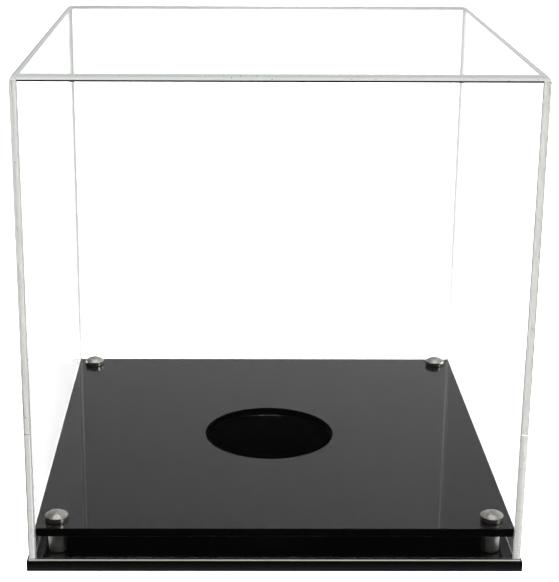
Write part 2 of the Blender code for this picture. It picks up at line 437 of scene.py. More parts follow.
# each joint has two zones by height, and the first three pairs are (below, above) the pair in "between"; the
# glow is painted light, and so is the front joint's clearer, unfrosted lower zone
joints = {
    "front": {
        "clearness": (1.0, 0.60),
        "frost": (0.0, 0.25),
        "glow": (0.07, 0.0),
        "between": (0.0787, 0.0795),
    },
    "back": {
        "clearness": (1.0, 1.0),
        "frost": (0.0, 0.0),
        "glow": (0.0, 0.0),
        "between": (0.0784, 0.0791),
    },
    "topFront": {
        "clearness": (0.9, 0.9),
        "frost": (0.85, 0.85),
        "glow": (0.25, 0.16),
        "between": (0.2648, 0.2652),
    },
    "topBack": {
        "clearness": (1.0, 1.0),
        "frost": (0.9, 0.9),
        "glow": (0.0, 0.0),
        "between": (0.2648, 0.2652),
    },
}

cement = {
    "tint": (1.0, 1.0, 0.99),
    "dryPatchesPerMetre": 260.0,
    "dryBetween": (0.62, 0.74),
    "dryColour": (0.46, 0.47, 0.45),
    "dryAmount": 0.3,
    "frostColour": (0.93, 0.945, 0.925),
    "beadColour": (0.90, 0.91, 0.90),
    "beadFrost": 0.95,
    # the bead's glow is painted light
    "beadPaintedGlow": 0.2,
    "beadRoughness": (0.04, 0.2),
    "beadFading": 0.92,
    "beadLift": 0.01,
    "ripplesPerMetre": 90.0,
    "relief": (0.4, 0.02 * mm),
    # the two top beads' colours are painted shade along the top edges
    "topBackShadeColour": (0.85, 0.85, 0.85),
    "shadowColour": (0.008, 0.008, 0.008),
}


# painted glow: an emission laid on a surface that is no lamp
def addPaintedGlow(tree, look, colour, strength):
    glow = output(tree, "ShaderNodeEmission", {"Color": colour, "Strength": strength})
    return output(tree, "ShaderNodeAddShader", {0: look, 1: glow})


def blend(tree, factor, first, second):
    # two shaders, the first at factor 0
    return output(tree, "ShaderNodeMixShader", {0: factor, 1: first, 2: second})


def cementedJoint(name):
    # a cemented sawn end lets part of the light straight through and spreads part of it,
    # and a painted glow stands in for what runs along inside the sheet
    joint = joints[name]
    material, tree, shader, place = newFinish(name + "Joint", {})
    tree.nodes.remove(shader)
    patches = noise(tree, place, cement["dryPatchesPerMetre"], 3.0)
    dry = times(tree, ramp(tree, patches, *cement["dryBetween"]), cement["dryAmount"])
    upper = ramp(tree, split(tree, place)["Z"], *joint["between"])
    below, above = [shaded(cement["tint"], value) for value in joint["clearness"]]
    colour = mixColour(tree, upper, below, above)
    colour = mixColour(tree, dry, colour, cement["dryColour"])
    through = output(tree, "ShaderNodeBsdfTransparent", {"Color": colour})
    spread = output(tree, "ShaderNodeBsdfTranslucent", {"Color": cement["frostColour"]})
    look = blend(tree, mixValue(tree, upper, *joint["frost"]), through, spread)
    if max(joint["glow"]) > 0:
        look = addPaintedGlow(tree, look, cement["frostColour"], mixValue(tree, upper, *joint["glow"]))
    feed(tree, look, tree.nodes["Material Output"].inputs["Surface"])
    return material


def cementBead(name, colour, frost, glow=0.0):
    # the run of set cement in an inside corner spreads the light from behind it; a glow given to it is
    # painted light, and a dark colour given to it is painted shade
    material, tree, shader, place = newFinish(name, sheetGlass)
    ripples = noise(tree, place, cement["ripplesPerMetre"], 3.0)
    feed(tree, mixValue(tree, ripples, *cement["beadRoughness"]), shader.inputs["Roughness"])
    bump(tree, shader, ripples, cement["relief"])
    faded = tuple(value * cement["beadFading"] + cement["beadLift"] for value in colour)
    tone = mixColour(tree, ripples, colour, faded)
    spread = output(tree, "ShaderNodeBsdfTranslucent", {"Color": tone})
    if glow:
        spread = addPaintedGlow(tree, spread, tone, glow)
    look = blend(tree, frost, shader.outputs[0], spread)
    feed(tree, look, tree.nodes["Material Output"].inputs["Surface"])
    return material


polishedFoot = {"saw": {"Pitch": 0.0016}, "roughness": (0.01, 0.05), "relief": (0.6, 0.001 * mm)}


def flamedEdge():
    # a sheet's foot that was flame-polished after sawing
    material, tree, shader, place = newFinish("flamedEdge", sheetGlass)
    saw = usePattern(tree, "saw", place, polishedFoot["saw"])
    feed(tree, mixValue(tree, saw, *polishedFoot["roughness"]), shader.inputs["Roughness"])
    bump(tree, shader, saw, polishedFoot["relief"])
    return material


sawnFoot = {
    "colour": (0.93, 0.93, 0.83),
    "dulling": 0.9,
    # the foot's inner part is painted shade and its outer strip has a painted glow
    "unlitColour": (0.05, 0.05, 0.045),
    "litBetween": (0.1288, 0.1292),  # distance from the middle
    "glow": 0.62,
    "clearness": 0.3,
    "saw": {"Pitch": 0.0005},
    "roughness": (0.35, 0.55),
    "relief": (0.6, 0.02 * mm),
}


def sawnAcrylicEdge():
    # the front panel's foot as the saw left it, with a painted glow on its outer strip for light that runs
    # down inside, and painted shade on the rest
    constants = {**glass(sawnFoot["clearness"]), "Emission Strength": sawnFoot["glow"]}
    material, tree, shader, place = newFinish("sawnAcrylicEdge", constants)
    saw = usePattern(tree, "saw", place, sawnFoot["saw"])
    outer = ramp(tree, maths(tree, "ABSOLUTE", split(tree, place)["Y"]), *sawnFoot["litBetween"])
    colour = mixColour(tree, saw, sawnFoot["colour"], shaded(sawnFoot["colour"], sawnFoot["dulling"]))
    colour = mixColour(tree, outer, sawnFoot["unlitColour"], colour)
    dress(tree, shader, colour, mixValue(tree, saw, *sawnFoot["roughness"]), saw, sawnFoot["relief"])
    glow = mixColour(tree, outer, (0.0, 0.0, 0.0), sawnFoot["colour"])
    feed(tree, glow, shader.inputs["Emission Color"])
    return material


air = {"dark": (0.62, 0.63, 0.60), "pale": (0.88, 0.88, 0.85), "roughness": (0.08, 0.3), "skinScale": 4000.0}


def trappedAir():
    # a bubble in cement mirrors what is round it
    material, tree, shader, place = newFinish("trappedAir", {"Metallic": 1.0})
    skin = noise(tree, place, air["skinScale"])
    colour = mixColour(tree, skin, air["dark"], air["pale"])
    setInputs(tree, shader, {"Base Color": colour, "Roughness": mixValue(tree, skin, *air["roughness"])})
    return material


plates = {
    "colour": (0.0016, 0.0016, 0.0018),
    "lighterArrisColour": (0.012, 0.012, 0.013),
    "dustColour": (0.16, 0.155, 0.15),
    "dust": {"Spacing": 0.009, "Size": 0.00022},
    "dustAmount": 0.5,
    "dustRoughness": 0.5,
    "scratches": {"Length": 0.025, "Width": 0.00009, "Amount": 0.35},
    "scratchRoughness": 0.14,
    "scratchDepth": 0.2,
    "film": {"Patch": 0.045},
    "filmRoughness": 0.006,
    "arrisReach": 0.0006,
    "arrisAmount": 0.6,
    "arrisRoughness": 0.12,
    "polish": 0.012,
    "wavesPerMetre": 30.0,
    "relief": (1.0, 0.003 * mm),
    "sharpAngle": 18,
    "flatAbove": 0.99,  # the upward part of a face's normal
}


def glossBlack(name, nodeName):
    # polished faces of one plate, with its own arris a little lighter and rougher
    material, tree, shader, place = newFinish(name, {"IOR": acrylic["indexOfRefraction"]})
    low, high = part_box(nodeName)
    extent = {"Half Width": high.x, "Half Depth": high.y, "Low": low.z, "High": high.z}
    arris = usePattern(tree, "arris", place, {**extent, "Reach": plates["arrisReach"]})
    scratches, film, dust = wear(tree, place, plates)
    lighterArris = times(tree, arris, plates["arrisAmount"])
    colour = mixColour(tree, lighterArris, plates["colour"], plates["lighterArrisColour"])
    colour = mixColour(tree, times(tree, dust, plates["dustAmount"]), colour, plates["dustColour"])
    rough = weighed(
        tree,
        plates["polish"],
        (film, plates["filmRoughness"]),
        (scratches, plates["scratchRoughness"]),
        (arris, plates["arrisRoughness"]),
        (dust, plates["dustRoughness"]),
    )
    waves = noise(tree, place, plates["wavesPerMetre"], 1.0)
    height = minus(tree, waves, times(tree, scratches, plates["scratchDepth"]))
    dress(tree, shader, colour, rough, height, plates["relief"])
    return material


plateEdges = {
    "deep": (0.0012, 0.0012, 0.0014),
    "pale": (0.0022, 0.0022, 0.0025),
    "specular": 0.05,
    "saw": {"Pitch": 0.0007},
    "roughness": (0.22, 0.38),
    "relief": (0.25, 0.006 * mm),
    "dust": {"Spacing": 0.004, "Size": 0.0002},
    "dustAmount": 0.3,
}


def machinedBlack():
    # the plates' sawn and scraped edges
    constants = {"IOR": acrylic["indexOfRefraction"], "Specular IOR Level": plateEdges["specular"]}
    material, tree, shader, place = newFinish("machinedBlack", constants)
    saw = usePattern(tree, "saw", place, plateEdges["saw"])
    dust = usePattern(tree, "dust", place, plateEdges["dust"])
    colour = mixColour(tree, saw, plateEdges["deep"], plateEdges["pale"])
    colour = mixColour(tree, times(tree, dust, plateEdges["dustAmount"]), colour, plates["dustColour"])
    dress(tree, shader, colour, mixValue(tree, saw, *plateEdges["roughness"]), saw, plateEdges["relief"])
    return material


nickel = {
    "pale": (0.68, 0.66, 0.62),
    "deep": (0.56, 0.54, 0.505),
    "handled": (0.46, 0.44, 0.41),
    "film": {"Patch": 0.004},
    "filmAmount": 0.2,
    "filmRoughness": 0.04,
    "turningPitch": 0.16 * mm,
    "relief": (0.12, 0.0015 * mm),
    # (shadeFactor, smoothest, roughest), the first darkening the colour; the barrel's is painted shade
    "capTop": (0.96, 0.17, 0.23),
    "capSide": (0.96, 0.06, 0.10),
    # the barrel's colour is darkened to under half: painted shade
    "barrel": (0.42, 0.38, 0.46),
}


def turned(tree, place, pitch):
    values = {"Vector": place, "Axis X": standoffX, "Axis Y": standoffY, "Pitch": pitch}
    return useGroup(tree, patterns["lathe"], values)


def satinNickel(part):
    material, tree, shader, place = newFinish(part + "Nickel", {"Metallic": 1.0})
    rings, bands = turned(tree, place, nickel["turningPitch"])
    film = usePattern(tree, "film", place, nickel["film"])
    shadeFactor, smoothest, roughest = nickel[part]
    deep, pale, handled = [shaded(nickel[tone], shadeFactor) for tone in ("deep", "pale", "handled")]
    colour = mixColour(tree, bands, deep, pale)
    colour = mixColour(tree, times(tree, film, nickel["filmAmount"]), colour, handled)
    rough = weighed(tree, mixValue(tree, bands, smoothest, roughest), (film, nickel["filmRoughness"]))
    dress(tree, shader, colour, rough, rings, nickel["relief"])
    return material


zinc = {
    "blue": (0.56, 0.57, 0.58),
    "yellow": (0.66, 0.64, 0.57),
    "film": {"Patch": 0.0015},
    "roughness": (0.30, 0.46),
    "turningPitch": 0.0002,
    "relief": (0.4, 0.006 * mm),
}


def zincSteel():
    material, tree, shader, place = newFinish("zincSteel", {"Metallic": 1.0})
    rings, bands = turned(tree, place, zinc["turningPitch"])
    film = usePattern(tree, "film", place, zinc["film"])
    colour = mixColour(tree, film, zinc["blue"], zinc["yellow"])
    dress(tree, shader, colour, mixValue(tree, film, *zinc["roughness"]), rings, zinc["relief"])
    return material


rubber = {
    "dark": (0.016, 0.016, 0.016),
    "dusty": (0.034, 0.033, 0.031),
    "film": {"Patch": 0.003},
    "grainPerMetre": 2600.0,
    "roughness": (0.62, 0.85),
    "relief": (0.5, 0.03 * mm),
}


def softRubber():
    material, tree, shader, place = newFinish("softRubber", {})
    grain = noise(tree, place, rubber["grainPerMetre"], 4.0)
    film = usePattern(tree, "film", place, rubber["film"])
    colour = mixColour(tree, film, rubber["dark"], rubber["dusty"])
    dress(tree, shader, colour, mixValue(tree, grain, *rubber["roughness"]), grain, rubber["relief"])
    return material


finishes = {
    "clear": clearAcrylic(),
    "bend": hazedBend(),
    "frontJoint": cementedJoint("front"),
    "backJoint": cementedJoint("back"),
    "topFrontJoint": cementedJoint("topFront"),
    "topBackJoint": cementedJoint("topBack"),
    # the bead's glow and the top beads' dark tones are painted light and painted shade
    "bead": cementBead("cementBead", cement["beadColour"], cement["beadFrost"], cement["beadPaintedGlow"]),
    "topFrontBead": cementBead("topFrontBead", cement["shadowColour"], 1.0),
    "topBackBead": cementBead("topBackBead", cement["topBackShadeColour"], 1.0),
    "sawnEdge": sawnAcrylicEdge(),
    "flamedEdge": flamedEdge(),
    "air": trappedAir(),
    "base": glossBlack("glossBlackBase", "base_plate"),
    "platform": glossBlack("glossBlackPlatform", "display_platform"),
    "edge": machinedBlack(),
    "capTop": satinNickel("capTop"),
    "capSide": satinNickel("capSide"),
    "barrel": satinNickel("barrel"),
    "zinc": zincSteel(),
    "rubber": softRubber(),
}
print("finishes ready:", ", ".join(finishes))


frontLow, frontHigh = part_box("cover_front_panel")

cover = {
    "width": shellHigh.x - shellLow.x,
    "depth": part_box("cover_back_panel")[1].y - frontLow.y,
    "height": shellHigh.z - shellLow.z,
    "foot": shellLow.z,
    "sheet": frontHigh.y - frontLow.y,
    "bendRadius": 3.4 * mm,
    "bendSteps": 16,
    "hazeReach": 4.9 * mm,
    "frontBead": 0.9 * mm,
    "backBead": 1.4 * mm,
    "beadSteps": 5,
    "jointLine": 0.02 * mm,
    "arris": 0.2 * mm,
    "footFinishUpTo": 0.01 * mm,
    "sharpAngle": 30,
}
pathInputs = {
    "Width": cover["width"],
    "Height": cover["height"],
    "Foot": cover["foot"],
    "Sheet": cover["sheet"],
    "Bend Radius": cover["bendRadius"],
    "Bend Steps": cover["bendSteps"],
    "Haze Reach": cover["hazeReach"],
}


def newShape(name, inputs, result="Geometry"):
    return newGroup(name, "GeometryNodeTree", inputs, {result: "Geometry"})


def compare(tree, operation, first, second):
    return output(tree, "FunctionNodeCompare", {0: first, 1: second}, data_type="FLOAT", operation=operation)


def bothOf(tree, first, second):
    return output(tree, "FunctionNodeBooleanMath", {0: first, 1: second}, operation="AND")


def closed(tree, curve, cyclic=True):
    return output(tree, "GeometryNodeSetSplineCyclic", {0: curve, "Cyclic": cyclic})


def position(tree):
    return split(tree, output(tree, "GeometryNodeInputPosition"))


def painted(tree, shape, finish, where=True):
    return output(tree, "GeometryNodeSetMaterial", {0: shape, "Selection": where, "Material": finish})


def realised(tree, shape, finish):
    # instances become real and the whole shape gets its first finish
    return painted(tree, output(tree, "GeometryNodeRealizeInstances", {0: shape}), finish)


def cornerPoints(tree, points):
    # a line of vertices moved to the given points, as a curve
    line = output(tree, "GeometryNodeMeshLine", {"Count": len(points)})
    places = addNode(tree, "GeometryNodeIndexSwitch", data_type="VECTOR")
    while len(places.index_switch_items) < len(points):
        places.index_switch_items.new()
    feed(tree, output(tree, "GeometryNodeInputIndex"), places.inputs[0])
    for number, point in enumerate(points):
        feed(tree, combine(tree, *point), places.inputs[number + 1])
    moved = output(tree, "GeometryNodeSetPosition", {"Geometry": line, "Position": places.outputs[0]})
    return output(tree, "GeometryNodeMeshToCurve", {"Mesh": moved})


def coverPath():
    # up the left side, over the top and down the right side, along the middle of the sheet
    tree, given, out = newShape("coverPath", pathInputs, "Curve")
    foot = given["Foot"]
    side = over(tree, minus(tree, given["Width"], given["Sheet"]), 2.0)
    left = times(tree, side, -1.0)
    half = over(tree, given["Sheet"], 2.0)
    top = minus(tree, plus(tree, foot, given["Height"]), half)
    # a point on either side of each bend ends the haze there
    reach = minus(tree, given["Haze Reach"], half)
    beside, below = minus(tree, side, reach), minus(tree, top, reach)
    leftHalf = [(left, 0, foot), (left, 0, below), (left, 0, top), (times(tree, beside, -1.0), 0, top)]
    rightHalf = [(beside, 0, top), (side, 0, top), (side, 0, below), (side, 0, foot)]
    path = cornerPoints(tree, leftHalf + rightHalf)
    # the bends are points 2 and 5 of 0 to 7, both 1.5 from the middle
    fromMiddle = maths(tree, "ABSOLUTE", minus(tree, output(tree, "GeometryNodeInputIndex"), 3.5))
    isBend = compare(tree, "EQUAL", fromMiddle, 1.5)
    radius = times(tree, minus(tree, given["Bend Radius"], half), isBend)
    values = {"Curve": path, "Count": given["Bend Steps"], "Radius": radius}
    feed(tree, output(tree, "GeometryNodeFilletCurve", values, mode="POLY"), out["Curve"])
    return tree


coverPathTree = coverPath()
sheetSizes = {
    "Depth": cover["depth"] - 2 * (cover["sheet"] + cover["jointLine"]),
    "Front Bead": cover["frontBead"],
    "Back Bead": cover["backBead"],
}
sheetFinishes = {
    "Clear": "clear",
    "Bend": "bend",
    "Front Joint": "frontJoint",
    "Back Joint": "backJoint",
    "Top Front Joint": "topFrontJoint",
    "Top Back Joint": "topBackJoint",
    "Cut Edge": "flamedEdge",
}


def bentSheet():
    # the sheet's section swept along the path: its ends meet the flat panels
    inputs = {**pathInputs, **sheetSizes, **dict.fromkeys(sheetFinishes, "Material")}
    tree, given, out = newShape("bentSheet", inputs)
    path = useGroup(tree, coverPathTree, {name: given[name] for name in pathInputs})[0]
    inner = over(tree, given["Sheet"], 2.0)
    outer = times(tree, inner, -1.0)
    back = over(tree, given["Depth"], 2.0)
    front = times(tree, back, -1.0)
    beadBack = minus(tree, back, given["Back Bead"])
    beadFront = plus(tree, front, given["Front Bead"])
    outside = [(outer, front, 0), (outer, back, 0)]
    inside = [(inner, y, 0) for y in (back, beadBack, beadFront, front)]
    section = closed(tree, cornerPoints(tree, outside + inside))
    values = {"Curve": path, "Profile Curve": section, "Fill Caps": True}
    shape = realised(tree, output(tree, "GeometryNodeCurveToMesh", values), given["Clear"])
    x, y, z = position(tree)
    summit = plus(tree, given["Foot"], given["Height"])
    hazeFrom = minus(tree, over(tree, given["Width"], 2.0), given["Haze Reach"])
    farOut = compare(tree, "GREATER_THAN", maths(tree, "ABSOLUTE", x), hazeFrom)
    highUp = compare(tree, "GREATER_THAN", z, minus(tree, summit, given["Haze Reach"]))
    onTop = compare(tree, "GREATER_THAN", z, minus(tree, summit, given["Bend Radius"]))
    inFront = compare(tree, "LESS_THAN", y, beadFront)
    behind = compare(tree, "GREATER_THAN", y, beadBack)
    atFoot = compare(tree, "LESS_THAN", z, plus(tree, given["Foot"], cover["footFinishUpTo"]))
    for where, finish in (
        (bothOf(tree, farOut, highUp), "Bend"),
        (inFront, "Front Joint"),
        (behind, "Back Joint"),
        (bothOf(tree, inFront, onTop), "Top Front Joint"),
        (bothOf(tree, behind, onTop), "Top Back Joint"),
        (atFoot, "Cut Edge"),
    ):
        shape = painted(tree, shape, given[finish], where)
    feed(tree, shape, out["Geometry"])
    return tree


def outline(inset):
    # the panel's outline, set in from its edge: left foot, round the top, right foot
    half = cover["width"] / 2
    top = cover["foot"] + cover["height"] - inset
    radius = max(cover["bendRadius"] - inset, 0.0)
    points = [(-half + inset, cover["foot"])]
    for sideways in (-1, 1):
        centre = (sideways * (half - inset - radius), top - radius)
        start = math.pi if sideways < 0 else math.pi / 2
        for step in range(cover["bendSteps"] + 1):
            angle = start - math.pi / 2 * step / cover["bendSteps"]
            points.append((centre[0] + radius * math.cos(angle), centre[1] + radius * math.sin(angle)))
    points.append((half - inset, cover["foot"]))
    return points


panels = {
    "front": {"facing": -1, "bead": cover["frontBead"], "foot": "sawnEdge"},
    "back": {"facing": 1, "bead": cover["backBead"], "foot": "flamedEdge"},
}


def flatPanel(side):
    # rings from the outer face to the inner one, each with the finish of the faces that lead to it
    facing, bead, footFinish = panels[side].values()
    joint = side + "Joint"
    topJoint, topBead = ["top" + side.title() + part for part in ("Joint", "Bead")]
    outside = cover["depth"] / 2
    inside = outside - cover["sheet"]
    seam = cover["sheet"] + cover["jointLine"]
    rings = [
        (cover["arris"], outside, None),
        (0.0, outside - cover["arris"], "clear"),
        (0.0, inside, "clear"),
        (seam, inside, joint),
        (seam, inside - bead, joint),
    ]
    for step in range(1, cover["beadSteps"] + 1):
        angle = math.pi / 2 * step / cover["beadSteps"]
        rings.append((seam + bead * (1 - math.cos(angle)), inside - bead * (1 - math.sin(angle)), "bead"))
    slots = ["clear", joint, topJoint, "bead", footFinish, topBead]
    topRun = cover["bendSteps"] + 1  # the stretch between the two rounded corners
    shape = bmesh.new()
    loops = []
    for inset, distance, ringFinish in rings:
        loops.append([shape.verts.new((x, facing * distance, z)) for x, z in outline(inset)])
        if ringFinish:
            before, after = loops[-2:]
            for i in range(len(after) - 1):
                finish = ringFinish
                if finish == "bead" and i == topRun:
                    finish = topBead
                elif finish == joint and 0 < i < 2 * topRun:
                    finish = topJoint
                face = shape.faces.new((before[i], before[i + 1], after[i + 1], after[i]))
                face.material_index = slots.index(finish)
    shape.faces.new(loops[0])
    shape.faces.new(loops[-1])
    foot = shape.faces.new([loop[0] for loop in loops] + [loop[-1] for loop in reversed(loops)])
    foot.material_index = slots.index(footFinish)
    mesh = bpy.data.meshes.new(side + "Panel")
    shape.to_mesh(mesh)
    shape.free()
    for slot in slots:
        mesh.materials.append(finishes[slot])
    tidyMesh(mesh, cover["sharpAngle"])
    panel = linkObject(mesh.name, mesh)
    steadyNormals(panel)
    fit(panel, "cover", "clear_acrylic", "cover_" + side + "_panel")


bubbles = {
    "sideways": (-0.1, 0.12),  # from the left side's share to all of them
    "shareOnLeft": 0.3,
    "shareElsewhere": 0.06,
    "stripWidth": 0.42,  # of the sheet, to either side of its middle
    "depthInSheet": 0.93,
    "subdivisions": 2,
    "seeds": {"front": 7, "back": 47},
}
bubbleInputs = {
    "Density": 700000.0,  # per square metre
    "Smallest": 0.05 * mm,
    "Largest": 0.28 * mm,
    "Flatness": 0.35,
    "Crowded Below": 0.085,
}


def randomValue(tree, seed, low=0.0, high=1.0):
    values = {"Seed": seed, 2: low, 3: high}
    return addNode(tree, "FunctionNodeRandomValue", values, data_type="FLOAT").outputs[1]


def jointBubbles():
    # small flattened bubbles scattered over the strip where sheet and panel meet
    inputs = {**pathInputs, **bubbleInputs, "Plane": 0.127, "Seed": 1, "Material": "Material"}
    tree, given, out = newShape("jointBubbles", inputs)
    path = useGroup(tree, coverPathTree, {name: given[name] for name in pathInputs})[0]
    reach = times(tree, given["Sheet"], bubbles["stripWidth"])
    section = cornerPoints(tree, [(times(tree, reach, -1.0), given["Plane"], 0), (reach, given["Plane"], 0)])
    strip = output(tree, "GeometryNodeCurveToMesh", {"Curve": path, "Profile Curve": section})
    x, y, z = position(tree)
    values = {"Mesh": strip, "Density": given["Density"], "Seed": given["Seed"]}
    scattered = output(tree, "GeometryNodeDistributePointsOnFaces", values)
    # most of them gather low on the right side, the rest are thinned out
    lowDown = ramp(tree, z, given["Foot"], given["Crowded Below"], 1.0, 0.0)
    onRight = ramp(tree, x, *bubbles["sideways"], bubbles["shareOnLeft"], 1.0)
    chance = maths(tree, "MAXIMUM", times(tree, lowDown, onRight), bubbles["shareElsewhere"])
    gone = compare(tree, "GREATER_THAN", randomValue(tree, plus(tree, given["Seed"], 1.0)), chance)
    kept = output(tree, "GeometryNodeDeleteGeometry", {0: scattered, "Selection": gone}, domain="POINT")
    size = randomValue(tree, plus(tree, given["Seed"], 2.0), given["Smallest"], given["Largest"])
    values = {"Radius": 1.0, "Subdivisions": bubbles["subdivisions"]}
    bubble = output(tree, "GeometryNodeMeshIcoSphere", values)
    thin = combine(tree, size, times(tree, size, given["Flatness"]), size)
    placed = output(tree, "GeometryNodeInstanceOnPoints", {"Points": kept, "Instance": bubble, "Scale": thin})
    feed(tree, realised(tree, placed, given["Material"]), out["Geometry"])
    return tree


sheetMaterials = {label: finishes[name] for label, name in sheetFinishes.items()}
sheetValues = {**pathInputs, **sheetSizes, **sheetMaterials}
bentCoverSheet = runTree("bentCoverSheet", bentSheet(), sheetValues, cover["sharpAngle"])
fit(bentCoverSheet, "cover", "clear_acrylic", "cover_shell")
for side in panels:
    flatPanel(side)

bubbleTree = jointBubbles()
for side, seed in bubbles["seeds"].items():
    plane = panels[side]["facing"] * (cover["depth"] / 2 - cover["sheet"] * bubbles["depthInSheet"])
    bubbleValues = {**pathInputs, **bubbleInputs, "Plane": plane, "Seed": seed, "Material": finishes["air"]}
    piece = runTree(side + "JointBubbles", bubbleTree, bubbleValues)
    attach(piece, "cover")
    print(piece.name, len(piece.data.polygons), "faces")
print("cover ready")


def blackPlate(nodeName, pieceName, faceFinish):
    plate = smoothCopy(nodeName, pieceName, plates["sharpAngle"])
    plate.data.materials.append(finishes[faceFinish])
    plate.data.materials.append(finishes["edge"])
    for face in plate.data.polygons:
        face.material_index = 1 if abs(face.normal.z) < plates["flatAbove"] else 0
    fit(plate, "base", "black_acrylic", nodeName)
    return plate


basePlate = blackPlate("base_plate", "basePlate", "base")
blackPlate("display_platform", "displayPlatform", "platform")
print("plates ready")


hub = 1.0 * mm  # radius of the ring that every profile is swept round
sideBelow = 0.35  # a face whose normal points up less than this gets the side's finish
thread = {
    "outside": 2.5 * mm,
    "core": 2.02 * mm,
    "pitch": 0.8 * mm,
    "clearance": 0.3 * mm,
    "halfWidth": 0.46,  # of the pitch
    "halfCrest": 0.06 * mm,
    "sunk": 0.1 * mm,
    "runOut": 0.05,
    "stepsPerTurn": 36,
}
boreRadius = thread["outside"] + thread["clearance"]


def arcPoints(centreRadius, centreHeight, radius, start, end, steps):
    # angles in degrees, measured up from the outward direction
    points = []
    for step in range(steps + 1):
        angle = math.radians(start + (end - start) * step / steps)
        points.append((centreRadius + radius * math.cos(angle), centreHeight + radius * math.sin(angle)))
    return points


def rodPoints(radius, low, high, edgeBreak):
    # down the outside of a rod whose two ends are broken
    inner = radius - edgeBreak
    return [(inner, high), (radius, high - edgeBreak), (radius, low + edgeBreak), (inner, low)]


def swept(tree, profile, isClosed, steps):
    # profile points are (radius, height), the sweep takes them outwards from the ring and downwards
    line = cornerPoints(tree, [(radius - hub, -height, 0) for radius, height in profile])
    line = closed(tree, line, isClosed)
    ring = output(tree, "GeometryNodeCurvePrimitiveCircle", {"Resolution": steps, "Radius": hub})
    skin = output(tree, "GeometryNodeCurveToMesh", {"Curve": ring, "Profile Curve": line})
    return output(tree, "GeometryNodeMergeByDistance", {0: skin, "Distance": weld["thinnerThan"]})


def moved(tree, shape, translation):
    return output(tree, "GeometryNodeTransform", {0: shape, "Translation": translation})


def screwThread(tree, bottom, top):
    # one ridge wound round the core, running out to nothing at both ends
    turns = (top - bottom) / thread["pitch"]
    values = {
        "Resolution": thread["stepsPerTurn"],
        "Rotations": turns,
        "Start Radius": thread["core"],
        "End Radius": thread["core"],
        "Height": top - bottom,
    }
    coil = output(tree, "GeometryNodeCurveSpiral", values)
    coil = output(tree, "GeometryNodeSetCurveNormal", {0: coil}, mode="Z_UP")
    half = thread["pitch"] * thread["halfWidth"]
    crest = thread["core"] - thread["outside"]
    root = [(thread["sunk"], -half, 0), (crest, -thread["halfCrest"], 0)]
    tip = [(crest, thread["halfCrest"], 0), (thread["sunk"], half, 0)]
    ridge = closed(tree, cornerPoints(tree, root + tip))
    along = addNode(tree, "GeometryNodeSplineParameter").outputs["Factor"]
    fromEnd = maths(tree, "MINIMUM", along, minus(tree, 1.0, along))
    height = maths(tree, "MAXIMUM", times(tree, fromEnd, turns, clamp=True), thread["runOut"])
    values = {"Curve": coil, "Profile Curve": ridge, "Scale": height, "Fill Caps": True}
    return moved(tree, output(tree, "GeometryNodeCurveToMesh", values), (0, 0, bottom))


def turnedPiece(name, profile, isClosed=False, threadSpan=None, socket=None):
    # a lathe-turned piece standing on one of the corner axes
    inputs = {"Steps": 96, "Axis X": 0.0, "Axis Y": 0.0, "Top Finish": "Material", "Side Finish": "Material"}
    tree, given, out = newShape(name, inputs)
    shape = swept(tree, profile, isClosed, given["Steps"])
    if socket:
        bottom, width, depth = socket
        values = {"Vertices": 6, "Radius": width / math.sqrt(3), "Depth": 2 * depth}
        key = moved(tree, output(tree, "GeometryNodeMeshCylinder", values), (0, 0, bottom))
        values = {"Mesh 1": shape, "Mesh 2": key}
        shape = output(tree, "GeometryNodeMeshBoolean", values, operation="DIFFERENCE", solver="EXACT")
    if threadSpan:
        joined = addNode(tree, "GeometryNodeJoinGeometry")
        feed(tree, screwThread(tree, *threadSpan), joined.inputs[0])
        feed(tree, shape, joined.inputs[0])
        shape = joined.outputs[0]
    shape = moved(tree, shape, combine(tree, given["Axis X"], given["Axis Y"], 0.0))
    shape = realised(tree, shape, given["Top Finish"])
    facing = split(tree, output(tree, "GeometryNodeInputNormal"))["Z"]
    upright = compare(tree, "LESS_THAN", maths(tree, "ABSOLUTE", facing), sideBelow)
    feed(tree, painted(tree, shape, given["Side Finish"], upright), out["Geometry"])
    return tree


corners = ("front_left", "front_right", "back_left", "back_right")


def fourOf(nodeStem, pieceStem, tree, topFinish, sideFinish, slot, sharpAngle, steps):
    # the same piece at each corner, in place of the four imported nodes
    for corner in corners:
        nodeName = nodeStem + "_" + corner
        low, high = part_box(nodeName)
        values = {
            "Steps": steps,
            "Axis X": (low.x + high.x) / 2,
            "Axis Y": (low.y + high.y) / 2,
            "Top Finish": finishes[topFinish],
            "Side Finish": finishes[sideFinish],
        }
        piece = runTree(pieceStem + corner.title().replace("_", ""), tree, values, sharpAngle)
        fit(piece, "base", slot, nodeName)
    print(pieceStem, len(piece.data.polygons), "faces each")


cap = {
    "bottom": capLow.z,
    "radius": (capHigh.x - capLow.x) / 2,
    "sideHeight": 2.9 * mm,
    "domeHeight": 2.1 * mm,
    "rimRadius": 0.3 * mm,
    "edgeBreak": 0.2 * mm,
    "boreDepth": 3.3 * mm,
    "domeSteps": 24,
    "rimSteps": 8,
}


def capProfile():
    edge = cap["radius"] - cap["rimRadius"]
    sphere = (edge**2 + cap["domeHeight"] ** 2) / (2 * cap["domeHeight"])
    shoulder = cap["bottom"] + cap["sideHeight"]
    lean = math.degrees(math.asin(edge / sphere))
    dome = arcPoints(0, shoulder + cap["domeHeight"] - sphere, sphere, 90, 90 - lean, cap["domeSteps"])
    rim = arcPoints(edge, shoulder - cap["rimRadius"], cap["rimRadius"], 90, 0, cap["rimSteps"])
    boreTop = cap["bottom"] + cap["boreDepth"]
    return dome + rim[1:] + [
        (cap["radius"], cap["bottom"] + cap["edgeBreak"]),
        (cap["radius"] - cap["edgeBreak"], cap["bottom"]),
        (boreRadius, cap["bottom"]),
        (boreRadius, boreTop),
        (0, boreTop),
    ]


